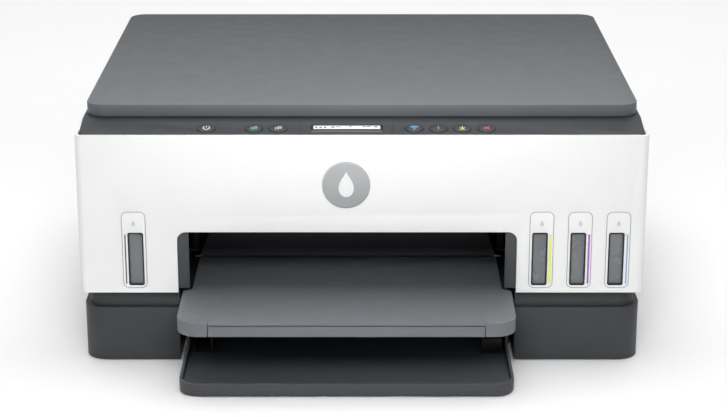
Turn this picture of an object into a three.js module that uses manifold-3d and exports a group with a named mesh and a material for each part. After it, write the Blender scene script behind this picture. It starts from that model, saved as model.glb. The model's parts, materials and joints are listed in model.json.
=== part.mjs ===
// An ink-tank inkjet printer with a flatbed scanner, as an assembly of separate solids.
// Millimetres, +Z up. The front faces -Y and the left side is -X. The origin is on the
// table, under the middle of the box that the printer and its drawn-out trays fill.
import * as THREE from "three";
import { mergeVertices } from "three/addons/utils/BufferGeometryUtils.js";
import Module from "manifold-3d";

const wasm = await Module();
wasm.setup();

// ---------------------------------------------------------------- driving dimensions
const WIDTH = 437; // side cover to side cover
const DEPTH = 360; // front cover to rear cover
const TRAY_REACH = 72; // how far the drawn-out input tray stands in front of the cover
const FRONT = TRAY_REACH - (DEPTH + TRAY_REACH) / 2;
const BACK = FRONT + DEPTH;
const HALF = WIDTH / 2;
const WALL = 2.5; // moulded wall
const GAP = 0.3; // between pieces that touch
const TABLE = -2.1; // heights count from a level just over the table
const BASE_BOTTOM = TABLE + 0.6; // the feet hold the base this far off the table
const BASE_TOP = 42.1; // ledge on top of the wide base
const NECK_TOP = 56;
const COVER_BOTTOM = 55;
const COVER_TOP = 181.5;
const HOUSING_TOP = 187.1; // flat top of the scanner unit
const LID_TOP = 197.1;

// The paper bay is off centre, because three tanks stand on its right and one on its left.
const BAY_CENTRE = -11.5;
const BAY_HALF = 131;
const BAY_LEFT = BAY_CENTRE - BAY_HALF;
const BAY_RIGHT = BAY_CENTRE + BAY_HALF;
const BAY_TOP = 104.4;

const PAPER_HALF = 105.5; // A4 across, with a little play

// ---------------------------------------------------------------- solids
const SMALL_ROUND = 16; // segments on a full circle of a small round

/** A three.js geometry as a solid that can be joined and cut. */
function solid(geometry) {
  const bare = geometry.index ? geometry.toNonIndexed() : geometry.clone();
  bare.deleteAttribute("normal");
  bare.deleteAttribute("uv");
  const merged = mergeVertices(bare, 1e-4);
  return new wasm.Manifold(
    new wasm.Mesh({
      numProp: 3,
      vertProperties: merged.attributes.position.array,
      triVerts: new Uint32Array(merged.index.array),
    }),
  );
}

/** A solid as a three.js geometry. */
function geometryOf(body) {
  const mesh = body.getMesh();
  const geometry = new THREE.BufferGeometry();
  geometry.setAttribute("position", new THREE.BufferAttribute(mesh.vertProperties, 3));
  geometry.setIndex(new THREE.BufferAttribute(mesh.triVerts, 1));
  return geometry;
}

const joined = (...bodies) => bodies.reduce((a, b) => a.add(b));
const cut = (body, ...tools) => tools.reduce((a, b) => a.subtract(b), body);

/** A block between two corners, given as spans. */
function block([x0, x1], [y0, y1], [z0, z1]) {
  const box = new THREE.BoxGeometry(x1 - x0, y1 - y0, z1 - z0);
  return solid(box.translate((x0 + x1) / 2, (y0 + y1) / 2, (z0 + z1) / 2));
}

/** A rectangle with round corners, as a three.js shape in its own XY plane. */
function roundRect(x0, x1, y0, y1, r) {
  const s = new THREE.Shape();
  s.moveTo(x0 + r, y0);
  s.lineTo(x1 - r, y0);
  s.absarc(x1 - r, y0 + r, r, -Math.PI / 2, 0, false);
  s.lineTo(x1, y1 - r);
  s.absarc(x1 - r, y1 - r, r, 0, Math.PI / 2, false);
  s.lineTo(x0 + r, y1);
  s.absarc(x0 + r, y1 - r, r, Math.PI / 2, Math.PI, false);
  s.lineTo(x0, y0 + r);
  s.absarc(x0 + r, y0 + r, r, Math.PI, Math.PI * 1.5, false);
  return s;
}

/** A shape of X and Y, raised from z0 to z1. */
function raise(shape, [z0, z1], curveSegments = 6) {
  const g = new THREE.ExtrudeGeometry(shape, { depth: z1 - z0, bevelEnabled: false, curveSegments });
  return solid(g.translate(0, 0, z0));
}

/** A block with round upright corners. */
function plinth([x0, x1], [y0, y1], [z0, z1], r, curveSegments = 6) {
  return raise(roundRect(x0, x1, y0, y1, r), [z0, z1], curveSegments);
}

/** A shape of X and Z, drawn out along Y from y0 to y1. */
function through(shape, [y0, y1], curveSegments = 5) {
  const g = new THREE.ExtrudeGeometry(shape, { depth: y1 - y0, bevelEnabled: false, curveSegments });
  return solid(g.rotateX(Math.PI / 2).translate(0, y1, 0));
}

/** A closed outline of [Y, Z] points, drawn out along X from x0 to x1. */
function profile(points, [x0, x1]) {
  const shape = new THREE.Shape(points.map(([y, z]) => new THREE.Vector2(y, z)));
  const g = new THREE.ExtrudeGeometry(shape, { depth: x1 - x0, bevelEnabled: false });
  g.applyMatrix4(new THREE.Matrix4().makeBasis(
    new THREE.Vector3(0, 1, 0), new THREE.Vector3(0, 0, 1), new THREE.Vector3(1, 0, 0)));
  return solid(g.translate(x0, 0, 0));
}

/** A round bar of radius r along X, Y or Z, with its axis through the other two coordinates. */
function bar(axis, r, [from, to], [a, b], segments = SMALL_ROUND) {
  const g = new THREE.CylinderGeometry(r, r, to - from, segments);
  const middle = (from + to) / 2;
  if (axis === "x") g.rotateZ(Math.PI / 2).translate(middle, a, b);
  if (axis === "y") g.translate(a, middle, b);
  if (axis === "z") g.rotateX(Math.PI / 2).translate(a, b, middle);
  return solid(g);
}

// ---------------------------------------------------------------- materials
const finish = (color, roughness, metalness = 0) =>
  new THREE.MeshStandardMaterial({ color, roughness, metalness });
const white = finish(0xe9ebea, 0.42);
const charcoal = finish(0x3d4043, 0.55);
const panelGrey = finish(0x4b4f53, 0.5);
const lidGrey = finish(0x6b7074, 0.5);
const trayGrey = finish(0x6f7477, 0.5);
const black = finish(0x17181a, 0.55);
const tankPlastic = finish(0x8a8d90, 0.25);
const steel = finish(0xb4b7ba, 0.35, 1);
const rubber = finish(0x1c1c1d, 0.85);
const nylon = finish(0xd9d6cc, 0.5);
const glass = finish(0xcfdedb, 0.05);
const foam = finish(0xf2f2ee, 0.9);
const board = finish(0x1f5a38, 0.5);

const printer = new THREE.Group();

/** Adds one named piece, at a place if it is a copy that is modelled at its own origin. */
function piece(name, body, material, place = [0, 0, 0]) {
  const mesh = new THREE.Mesh(geometryOf(body), material);
  mesh.name = name;
  mesh.position.set(...place);
  printer.add(mesh);
}

// ---------------------------------------------------------------- base
const BASE_INSET = 1.2; // base behind the covers at the sides
const BASE_SPAN = [-HALF + BASE_INSET, HALF - BASE_INSET];
const BASE_FRONT = FRONT + 1.5;
const NECK_INSET = 3.5; // neck behind the base at the sides
const NECK_SET_BACK = 5.5; // and at the front
const NECK_SPAN = [BASE_SPAN[0] + NECK_INSET, BASE_SPAN[1] - NECK_INSET];
const NECK_FRONT = BASE_FRONT + NECK_SET_BACK;
const BASE_ROUND = 17; // upright corners
const NECK_ROUND = 13;
const TRAY_WELL_BACK = 172; // the input tray slides this far back
const INPUT_RAIL_TOP = 13;
const OUTPUT_RAIL_TOP = 45.4;

const FOOT = { r: 9, height: 1.8 };
const FOOT_PLACES = {
  front_left: [-190, FRONT + 28], front_right: [190, FRONT + 28],
  rear_left: [-190, BACK - 28], rear_right: [190, BACK - 28],
};

function baseHousing() {
  const base = plinth(BASE_SPAN, [BASE_FRONT, BACK - 2], [BASE_BOTTOM, BASE_TOP], BASE_ROUND);
  const neck = plinth(NECK_SPAN, [NECK_FRONT, BACK - 5], [BASE_TOP - 1, NECK_TOP], NECK_ROUND);
  const inside = plinth([BASE_SPAN[0] + WALL, BASE_SPAN[1] - WALL],
    [BASE_FRONT + WALL, BACK - 2 - WALL], [BASE_BOTTOM + WALL, BASE_TOP - WALL], BASE_ROUND - WALL);
  const neckInside = plinth([NECK_SPAN[0] + WALL, NECK_SPAN[1] - WALL],
    [NECK_FRONT + WALL, BACK - 5 - WALL], [BASE_TOP - WALL - 1, NECK_TOP + 1], NECK_ROUND - WALL);
  const full = [BASE_BOTTOM, NECK_TOP];
  const walls = joined(
    block([BAY_LEFT - WALL, BAY_LEFT + 1], [NECK_FRONT, BACK - 8], full),
    block([BAY_RIGHT - 1, BAY_RIGHT + WALL], [NECK_FRONT, BACK - 8], full),
    block([BAY_LEFT - WALL, BAY_RIGHT + WALL], [TRAY_WELL_BACK - 1, TRAY_WELL_BACK + WALL], full),
    block([BAY_LEFT - WALL, BAY_LEFT + 1], [BASE_FRONT, NECK_FRONT + 1], [BASE_BOTTOM, BASE_TOP]),
    block([BAY_RIGHT - 1, BAY_RIGHT + WALL], [BASE_FRONT, NECK_FRONT + 1], [BASE_BOTTOM, BASE_TOP]),
  );
  const well = block([BAY_LEFT, BAY_RIGHT], [FRONT - 5, TRAY_WELL_BACK], [TABLE, NECK_TOP + 5]);
  const rails = [];
  for (const [wall, side] of [[BAY_LEFT, 1], [BAY_RIGHT, -1]]) {
    const out = (reach) => (side > 0 ? [wall - 1, wall + reach] : [wall - reach, wall + 1]);
    rails.push(block(out(4.1), [FRONT + 24, TRAY_WELL_BACK - 4], [INPUT_RAIL_TOP - 2, INPUT_RAIL_TOP]));
    rails.push(block(out(15), [FRONT + 10, FRONT + 160], [OUTPUT_RAIL_TOP - 2.5, OUTPUT_RAIL_TOP]));
  }
  const recesses = Object.values(FOOT_PLACES).map((place) =>
    bar("z", FOOT.r + GAP, [TABLE, TABLE + FOOT.height + GAP], place, 24));
  const shell = cut(joined(base, neck), inside, neckInside, ...recesses);
  return joined(cut(joined(shell, walls), well), ...rails);
}

/** A pad on the table, with its upper part sunk into the underside of the base. */
function rubberFoot() {
  const points = [[0, 0], [FOOT.r - 1.5, 0], [FOOT.r, 1], [FOOT.r, FOOT.height], [0, FOOT.height]];
  const g = new THREE.LatheGeometry(points.map(([x, y]) => new THREE.Vector2(x, y)), 24);
  return solid(g.rotateX(Math.PI / 2));
}

piece("base_housing", baseHousing(), charcoal);
for (const [corner, [x, y]] of Object.entries(FOOT_PLACES)) {
  piece(`rubber_foot_${corner}`, rubberFoot(), rubber, [x, y, TABLE]);
}

// Plate that carries the tanks and the print engine, over the trays.
const DECK = [NECK_TOP + GAP, NECK_TOP + GAP + WALL];
const BAY_BACK = FRONT + 92;
const OUT_NECK_HALF = 120.5; // the output tray, where it runs inside the bay
function midFrame() {
  const plate = plinth([-211, 211], [FRONT + 9, BACK - 6], DECK, 6);
  const bay = block([BAY_LEFT - 3, BAY_RIGHT + 3], [FRONT, BAY_BACK + 1], [50, 70]);
  const trayRun = block([BAY_CENTRE - OUT_NECK_HALF - 1.2, BAY_CENTRE + OUT_NECK_HALF + 1.2],
    [FRONT, FRONT + 153], [50, 70]);
  const paperTurn = block([-130, 107], [FRONT + 208, FRONT + 300], [50, 70]);
  return cut(plate, bay, trayRun, paperTurn);
}
piece("mid_frame", midFrame(), charcoal);

// ---------------------------------------------------------------- white covers
const TANK_PITCH = 29.5;
const YELLOW_X = 138.3;
const WINDOWS = {
  black: { x: -175.6, side: -1 },
  yellow: { x: YELLOW_X, side: 1 },
  magenta: { x: YELLOW_X + TANK_PITCH, side: 1 },
  cyan: { x: YELLOW_X + 2 * TANK_PITCH, side: 1 },
};
const WINDOW_SHIFT = 1.2; // the window stands beside its colour line, off the outline's middle
const WINDOW_HALF = 6.1;
const WINDOW_SPAN = [61, 104];
const OUTLINE_HALF = 9.4;
const OUTLINE_SPAN = [58.7, 120.9];
const COVER_SPLIT = FRONT + 16; // the front cover wraps round to here
const REAR_SPLIT = BACK - 12;
const FASCIA = 2.6;

function frontCover() {
  const outer = plinth([-HALF, HALF], [FRONT, FRONT + 40], [COVER_BOTTOM, COVER_TOP], 6, 4);
  const inner = plinth([-HALF + WALL, HALF - WALL], [FRONT + FASCIA, FRONT + 60],
    [COVER_BOTTOM - 1, COVER_TOP + 1], 3.5, 3);
  const behind = block([-HALF - 1, HALF + 1], [COVER_SPLIT, FRONT + 61], [50, 190]);
  const mouth = through(roundRect(BAY_LEFT, BAY_RIGHT, COVER_BOTTOM - 30, BAY_TOP, 7), [FRONT - 1, FRONT + 5], 4);
  let cover = cut(outer, inner, behind, mouth);
  for (const { x, side } of Object.values(WINDOWS)) {
    const middle = x - side * WINDOW_SHIFT;
    const window = roundRect(middle - WINDOW_HALF, middle + WINDOW_HALF, ...WINDOW_SPAN, 1.6);
    const rim = (grow) => roundRect(x - OUTLINE_HALF - grow, x + OUTLINE_HALF + grow,
      OUTLINE_SPAN[0] - grow, OUTLINE_SPAN[1] + grow, 4.6 + grow);
    const groove = through(rim(0), [FRONT - 1, FRONT + 0.5], 3).subtract(
      through(rim(-0.6), [FRONT - 2, FRONT + 1], 3));
    cover = cut(cover, through(window, [FRONT - 1, FRONT + 5], 2), groove);
  }
  return cover;
}

function sideCover(side) {
  const outer = side > 0 ? [HALF - WALL, HALF] : [-HALF, -HALF + WALL];
  return block(outer, [COVER_SPLIT + GAP, REAR_SPLIT - GAP], [COVER_BOTTOM, COVER_TOP]);
}

const SCANNER_FLOOR = 165; // underside of the scanner unit's rim
const INLET_X = -160;
const INLET_Z = 78;
const VENT = { count: 8, x: 60, pitch: 13, half: 1.6, z: [84, 122] };
function rearCover() {
  const outer = plinth([-HALF, HALF], [BACK - 40, BACK], [COVER_BOTTOM, COVER_TOP], 8, 5);
  const inner = plinth([-HALF + WALL, HALF - WALL], [BACK - 60, BACK - WALL],
    [COVER_BOTTOM - 1, COVER_TOP + 1], 5.5, 4);
  const ahead = block([-HALF - 1, HALF + 1], [BACK - 61, REAR_SPLIT], [50, 190]);
  const scannerRoom = block([-HALF + 2.2, HALF - 2.2], [BACK - 20, BACK + 1],
    [SCANNER_FLOOR - 0.5, COVER_TOP + 1]);
  const inlet = block([INLET_X - 15, INLET_X + 15], [BACK - 5, BACK + 1], [INLET_Z - 11, INLET_Z + 11]);
  let cover = cut(outer, inner, ahead, scannerRoom, inlet);
  for (let n = 0; n < VENT.count; n++) {
    const x = VENT.x + n * VENT.pitch;
    const slot = roundRect(x - VENT.half, x + VENT.half, ...VENT.z, 1.2);
    cover = cut(cover, through(slot, [BACK - 5, BACK + 1], 1));
  }
  return cover;
}

piece("front_cover", frontCover(), white);
piece("left_side_cover", sideCover(-1), white);
piece("right_side_cover", sideCover(1), white);
piece("rear_cover", rearCover(), charcoal);

// ---------------------------------------------------------------- paper bay
const CHEEK = 8.8;
function bayLiner() {
  const y = [FRONT + FASCIA + GAP, BAY_BACK];
  const left = block([BAY_LEFT - 2.2, BAY_LEFT - 0.2], y, [DECK[0], BAY_TOP + 2.8]);
  const right = block([BAY_RIGHT + 0.2, BAY_RIGHT + 2.2], y, [DECK[0], BAY_TOP + 2.8]);
  const ceiling = block([BAY_LEFT - 2.2, BAY_RIGHT + 2.2], y, [BAY_TOP + 0.6, BAY_TOP + 2.8]);
  const brow = block([BAY_LEFT - 2.2, BAY_RIGHT + 2.2], [BAY_BACK - 2, BAY_BACK], [84, BAY_TOP + 1]);
  // Cheeks narrow the mouth; the drawn-in output tray passes under them.
  const cheeks = [[BAY_LEFT - 2.2, BAY_LEFT + CHEEK], [BAY_RIGHT - CHEEK, BAY_RIGHT + 2.2]].map((x) =>
    block(x, [y[0], y[0] + 2], [57.6, BAY_TOP + 2.8]));
  return joined(left, right, ceiling, brow, ...cheeks);
}
piece("bay_liner", bayLiner(), black);

// ---------------------------------------------------------------- ink tanks
const TANK_FRONT = FRONT + FASCIA + 1.9;
const TANK_DEPTH = 74;
const TANK_SPAN_Z = [DECK[1] + GAP, 114];
const NECK_Y = 34; // filler neck behind the tank's front
const CAP_FLOOR = 121.4;
const CAP_HINGE_Y = NECK_Y + 12;
const CAP_HINGE_Z = 123.9;

/** A tank at X = 0, with its window boss shifted towards the outline's free side. */
function inkTank(half, bossX) {
  const body = plinth([-half, half], [TANK_FRONT, TANK_FRONT + TANK_DEPTH], TANK_SPAN_Z, 3, 2);
  const boss = through(roundRect(bossX - WINDOW_HALF + 0.3, bossX + WINDOW_HALF - 0.3,
    WINDOW_SPAN[0] + 0.3, WINDOW_SPAN[1] - 0.3, 1.4), [FRONT + 1.2, TANK_FRONT + 1], 2);
  const neck = bar("z", 8, [TANK_SPAN_Z[1] - 1, CAP_FLOOR - 0.4], [0, TANK_FRONT + NECK_Y], 16);
  const filler = bar("z", 4, [CAP_FLOOR - 3.4, CAP_FLOOR + 1], [0, TANK_FRONT + NECK_Y], 12);
  const lugs = [-1, 1].map((side) => block(side < 0 ? [-7, -4.4] : [4.4, 7],
    [TANK_FRONT + CAP_HINGE_Y - 2, TANK_FRONT + CAP_HINGE_Y + 3],
    [TANK_SPAN_Z[1] - 1, CAP_HINGE_Z + 2]));
  return cut(joined(body, boss, neck, ...lugs), filler);
}

/** A flip cap with its hinge line at the origin, along X. */
function tankCap() {
  const disc = bar("z", 9, [CAP_FLOOR - CAP_HINGE_Z, 2.6], [0, -12], 16);
  const tongue = block([-4, 4], [-10, 2.2], [-2, 2.2]);
  const pull = block([-3.5, 3.5], [-24, -19], [-1.2, 1]);
  const grip = bar("z", 5, [2, 4.6], [0, -12], 12);
  return joined(disc, tongue, pull, grip);
}

const BLACK_TANK_HALF = 28;
const COLOUR_TANK_HALF = 13.4;
const BLACK_TANK_X = -176.4;
for (const [ink, { x, side }] of Object.entries(WINDOWS)) {
  const tankX = ink === "black" ? BLACK_TANK_X : x;
  const bossX = x - side * WINDOW_SHIFT - tankX;
  const half = ink === "black" ? BLACK_TANK_HALF : COLOUR_TANK_HALF;
  piece(`ink_tank_${ink}`, inkTank(half, bossX), tankPlastic, [tankX, 0, 0]);
  piece(`tank_cap_${ink}`, tankCap(), panelGrey, [tankX, TANK_FRONT + CAP_HINGE_Y, CAP_HINGE_Z]);
}

// ---------------------------------------------------------------- print engine
const PLATE = 1.6; // sheet steel
const ENGINE_FRONT = FRONT + 96;
const ENGINE_BACK = FRONT + 178;
const ENGINE_HALF = 206;
const ENGINE_TOP = 148;
const RAIL = { y: FRONT + 160, z: 112, r: 4 };
const FEED = { y: FRONT + 146, z: 76, shaft: 4, r: 6.2 };
const EXIT = { y: FRONT + 98, z: 72, shaft: 2.5, r: 4.6 };
const PLATEN = [BAY_LEFT + 8, BAY_RIGHT - 8];
const PLATEN_TOP = 77;
const PULLEY = { x: 188, z: 100, r: 7, y: [FRONT + 170.5, FRONT + 176] };

function chassisFrame() {
  const back = block([-ENGINE_HALF, ENGINE_HALF], [ENGINE_BACK, ENGINE_BACK + PLATE], [DECK[1] + GAP, ENGINE_TOP]);
  const foot = block([-ENGINE_HALF, ENGINE_HALF], [ENGINE_BACK, ENGINE_BACK + 16],
    [DECK[1] + GAP, DECK[1] + GAP + PLATE]);
  const brim = block([-ENGINE_HALF, ENGINE_HALF], [ENGINE_BACK, ENGINE_BACK + 12], [ENGINE_TOP - PLATE, ENGINE_TOP]);
  const ends = [-1, 1].map((side) => block(
    side < 0 ? [-ENGINE_HALF, -ENGINE_HALF + PLATE] : [ENGINE_HALF - PLATE, ENGINE_HALF],
    [ENGINE_FRONT, ENGINE_BACK + 1], [DECK[1] + GAP, ENGINE_TOP - 12]));
  const whole = [-ENGINE_HALF - 1, ENGINE_HALF + 1];
  return cut(joined(back, foot, brim, ...ends),
    bar("x", FEED.shaft + 0.5, whole, [FEED.y, FEED.z]),
    bar("x", RAIL.r + 0.4, whole, [RAIL.y, RAIL.z]),
    bar("y", 3, [ENGINE_BACK - 1, ENGINE_BACK + 4], [PULLEY.x, PULLEY.z]),
    bar("y", 3, [ENGINE_BACK - 1, ENGINE_BACK + 4], [-PULLEY.x, PULLEY.z]));
}

function platen() {
  const plate = block(PLATEN, [EXIT.y + 6, FEED.y - 8], [70, PLATEN_TOP]);
  const ribs = [];
  for (let x = PLATEN[0] + 14; x < PLATEN[1] - 8; x += 27) {
    ribs.push(block([x, x + 2.4], [EXIT.y + 8, FEED.y - 10], [PLATEN_TOP - 0.5, PLATEN_TOP + 1.6]));
  }
  const ends = [-1, 1].map((side) => block(
    side < 0 ? [PLATEN[0] - 4, PLATEN[0] + 1] : [PLATEN[1] - 1, PLATEN[1] + 4],
    [EXIT.y - 4.6, FEED.y + 8], [DECK[1] + GAP, PLATEN_TOP + 3]));
  return cut(joined(plate, ...ribs, ...ends),
    bar("x", FEED.shaft + 0.5, [-150, 150], [FEED.y, FEED.z]),
    bar("x", EXIT.shaft + 0.4, [-150, 150], [EXIT.y, EXIT.z]));
}

/** A shaft along X with wider sleeves on it. */
function roller({ y, z, shaft, r }, span, sleeves, segments = SMALL_ROUND) {
  const rings = sleeves.map((s) => bar("x", r, s, [y, z], segments));
  return joined(bar("x", shaft, span, [y, z], segments), ...rings);
}

function gear(teeth, pitchRadius, bore, thickness) {
  const shape = new THREE.Shape();
  const step = (2 * Math.PI) / teeth;
  for (let n = 0; n < teeth; n++) {
    const flank = [[-0.3, -1.1], [-0.14, 1], [0.14, 1], [0.3, -1.1]];
    flank.forEach(([turn, rise], i) => {
      const a = (n + turn) * step;
      const p = [Math.cos(a) * (pitchRadius + rise), Math.sin(a) * (pitchRadius + rise)];
      if (n || i) shape.lineTo(...p);
      else shape.moveTo(...p);
    });
  }
  const hole = bar("z", bore, [-1, thickness + 1], [0, 0]);
  return raise(shape, [0, thickness]).subtract(hole).rotate([0, 90, 0]);
}

piece("chassis_frame", chassisFrame(), steel);
piece("carriage_rail", bar("x", RAIL.r, [-ENGINE_HALF - 2, ENGINE_HALF + 2], [RAIL.y, RAIL.z]), steel);
piece("platen", platen(), black);
piece("feed_roller", roller(FEED, [-203, 208], [[-118, -60], [-44, 14], [30, 88]]), steel);
piece("feed_gear", gear(24, 14, FEED.shaft + 0.1, 7), nylon, [-198, FEED.y, FEED.z]);
const exitSleeves = [];
for (let x = -116; x < 88; x += 48) exitSleeves.push([x, x + 14]);
piece("exit_roller", roller(EXIT, [PLATEN[0] - 6, PLATEN[1] + 6], exitSleeves, 12), rubber);

// ---- carriage, parked at the right
const CARRIAGE = [130, 192];
const HEADS = { black: [134, 158.5], colour: [163.5, 188] };
const HEAD_Y = [FRONT + 111, FRONT + 150];
const NOZZLE_Z = 81.5; // face of the heads' nozzles, over the platen's ribs
function carriage() {
  const body = block(CARRIAGE, [FRONT + 104, FRONT + 168], [94, 136]);
  const holder = block(CARRIAGE, [FRONT + 108, FRONT + 152], [NOZZLE_Z + 2.5, 95]);
  const clamp = block([150, 172], [FRONT + 166, PULLEY.y[0] - GAP], [104, 110]); // reaches back to the belt
  const pockets = Object.values(HEADS).map((x) => block(x, HEAD_Y, [80, 140]));
  const bearing = bar("x", RAIL.r + 0.35, [CARRIAGE[0] - 1, CARRIAGE[1] + 1], [RAIL.y, RAIL.z]);
  return cut(joined(body, holder, clamp), bearing, ...pockets);
}
function printhead([x0, x1]) {
  const y = [HEAD_Y[0] + 0.4, HEAD_Y[1] - 0.4];
  const x = [x0 + 0.4, x1 - 0.4];
  const body = block(x, y, [86, 131]);
  const nose = block([x[0] + 3, x[1] - 3], [y[0] + 6, y[1] - 12], [NOZZLE_Z, 87]);
  const tab = block([x[0] + 4, x[1] - 4], [y[0], y[0] + 12], [130, 139]);
  return joined(body, nose, tab);
}
piece("carriage", carriage(), black);
for (const [head, x] of Object.entries(HEADS)) {
  piece(`printhead_${head}`, printhead(x), panelGrey);
}

// ---- belt drive
function beltLoop() {
  const loop = (r) => {
    const s = new THREE.Shape();
    s.absarc(PULLEY.x, PULLEY.z, r, -Math.PI / 2, Math.PI / 2, false);
    s.absarc(-PULLEY.x, PULLEY.z, r, Math.PI / 2, Math.PI * 1.5, false);
    return s;
  };
  const y = [PULLEY.y[0] + 0.8, PULLEY.y[1] - 0.8];
  return through(loop(PULLEY.r + 1.5), y, 8).subtract(
    through(loop(PULLEY.r + 0.3), [y[0] - 1, y[1] + 1], 8));
}
function pulley(x) {
  const rims = [PULLEY.y[0], PULLEY.y[1] - 0.5].map((y) => bar("y", PULLEY.r + 2, [y, y + 0.5], [x, PULLEY.z]));
  const drum = bar("y", PULLEY.r, PULLEY.y, [x, PULLEY.z]);
  return cut(joined(drum, ...rims), bar("y", 2.3, [PULLEY.y[0] - 1, PULLEY.y[1] + 1], [x, PULLEY.z], 12));
}
function beltMotor() {
  const can = bar("y", 15, [ENGINE_BACK + PLATE + GAP, ENGINE_BACK + 34], [PULLEY.x, PULLEY.z], 24);
  const shaft = bar("y", 2, [PULLEY.y[0], ENGINE_BACK + 4], [PULLEY.x, PULLEY.z], 12);
  return joined(can, shaft);
}
piece("carriage_belt", beltLoop(), rubber);
piece("drive_pulley", pulley(PULLEY.x), nylon);
piece("idler_pulley", pulley(-PULLEY.x), nylon);
piece("carriage_motor", beltMotor(), steel);
const FEED_MOTOR = { y: FEED.y - 26, z: FEED.z - 4, r: 10 };
piece("feed_motor", joined(
  bar("x", FEED_MOTOR.r, [-203.5, -174], [FEED_MOTOR.y, FEED_MOTOR.z], 24),
  bar("x", 4, [-175, -170], [FEED_MOTOR.y, FEED_MOTOR.z]),
), steel);

// ---- capping station under the parked carriage
function serviceStation() {
  const tub = block([126, 196], [FRONT + 106, FRONT + 136], [DECK[1] + GAP, 74]);
  const caps = Object.values(HEADS).map(([x0, x1]) => block([x0 + 2, x1 - 2], [FRONT + 114, FRONT + 134], [73, 80.4]));
  const wells = Object.values(HEADS).map(([x0, x1]) => block([x0 + 4, x1 - 4], [FRONT + 116, FRONT + 132], [77, 82]));
  return cut(joined(tub, ...caps), ...wells);
}
piece("service_station", serviceStation(), panelGrey);

// ---- pickup roller on its swinging arm
const ARM_PIVOT = { y: FRONT + 287, z: 68 };
const PICKUP = { y: FRONT + 225, z: 50, r: 11 };
function pickupArm() {
  const web = profile([
    [PICKUP.y - 4, PICKUP.z - 4], [PICKUP.y + 4, PICKUP.z - 6],
    [ARM_PIVOT.y + 6, ARM_PIVOT.z - 6], [ARM_PIVOT.y + 6, ARM_PIVOT.z + 6],
    [ARM_PIVOT.y - 4, ARM_PIVOT.z + 6], [PICKUP.y - 4, PICKUP.z + 5]], [-9, -3]);
  const pivot = bar("x", 4, [-40, 30], [ARM_PIVOT.y, ARM_PIVOT.z]);
  const axle = bar("x", 2.5, [-38, -4], [PICKUP.y, PICKUP.z], 12);
  return joined(web, pivot, axle);
}
piece("pickup_arm", pickupArm(), panelGrey);
piece("pickup_roller", bar("x", PICKUP.r, [-36, -12], [PICKUP.y, PICKUP.z], 24).subtract(
  bar("x", 2.9, [-40, -8], [PICKUP.y, PICKUP.z], 12)), rubber);

// ---- electronics
function mainBoard() {
  const plate = block([116, 206], [FRONT + 215, FRONT + 335], [64, 65.6]);
  const chips = [[128, 150, 232, 254, 4], [160, 178, 240, 258, 2.6], [130, 172, 280, 292, 9], [182, 198, 224, 300, 7]];
  const posts = [[120, 219], [202, 219], [120, 331], [202, 331]];
  return joined(plate,
    ...chips.map(([x0, x1, y0, y1, h]) => block([x0, x1], [FRONT + y0, FRONT + y1], [65, 65.6 + h])),
    ...posts.map(([x, y]) => bar("z", 2.5, [DECK[1] + GAP, 65], [x, FRONT + y], 10)));
}
function powerSupply() {
  return plinth([-205, -136], [FRONT + 215, FRONT + 330], [DECK[1] + GAP, 98], 3, 2);
}
/** A two-pin appliance inlet: a shroud with an oblong socket and two pins. */
function powerInlet() {
  const y = [BACK - 24, BACK - 1.2];
  const body = block([INLET_X - 14.4, INLET_X + 14.4], y, [INLET_Z - 10.4, INLET_Z + 10.4]);
  const socket = through(roundRect(INLET_X - 9, INLET_X + 9, INLET_Z - 5, INLET_Z + 5, 4.6), [BACK - 14, BACK + 1], 5);
  const pins = [-4.3, 4.3].map((x) => bar("y", 1.2, [BACK - 15, BACK - 9], [INLET_X + x, INLET_Z], 8));
  return joined(cut(body, socket), ...pins);
}
piece("main_board", mainBoard(), board);
piece("power_supply", powerSupply(), black);
piece("power_inlet", powerInlet(), black);

// ---------------------------------------------------------------- input tray
const TRAY_FRONT = FRONT - TRAY_REACH;
const TRAY_BACK = FRONT + 238;
const TRAY_HALF = 126.5;
const TRAY_SPAN = [BAY_CENTRE - TRAY_HALF, BAY_CENTRE + TRAY_HALF];
const TRAY_FLOOR = TABLE + 1.3;
const TRAY_SHEET = 1.9;
const TRAY_RIM = 8.4;
const TRAY_WALL_TOP = 34;

function inputTray() {
  const y = [TRAY_FRONT, TRAY_BACK];
  const inner = [TRAY_SPAN[0] + 2.2, TRAY_SPAN[1] - 2.2];
  const pan = plinth(TRAY_SPAN, y, [TRAY_FLOOR, TRAY_RIM], 15, 6);
  const hollow = plinth(inner, [y[0] + 2.2, y[1] - 2.2], [TRAY_FLOOR + TRAY_SHEET, TRAY_RIM + 1], 13, 5);
  const wallY = [FRONT + 8, TRAY_BACK - 14];
  const sides = [[TRAY_SPAN[0], inner[0]], [inner[1], TRAY_SPAN[1]]].map((x) =>
    profile([[wallY[0], TRAY_RIM - 1], [wallY[1], TRAY_RIM - 1], [wallY[1], TRAY_WALL_TOP],
      [wallY[0] + 12, TRAY_WALL_TOP], [wallY[0], TRAY_WALL_TOP - 12]], x));
  const flangeZ = [INPUT_RAIL_TOP + 0.4, INPUT_RAIL_TOP + 2];
  const flanges = [[TRAY_SPAN[0] - 3.8, TRAY_SPAN[0] + 1], [TRAY_SPAN[1] - 1, TRAY_SPAN[1] + 3.8]].map((x) =>
    block(x, [FRONT + 30, wallY[1]], flangeZ));
  return joined(pan.subtract(hollow), ...sides, ...flanges);
}

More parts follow.
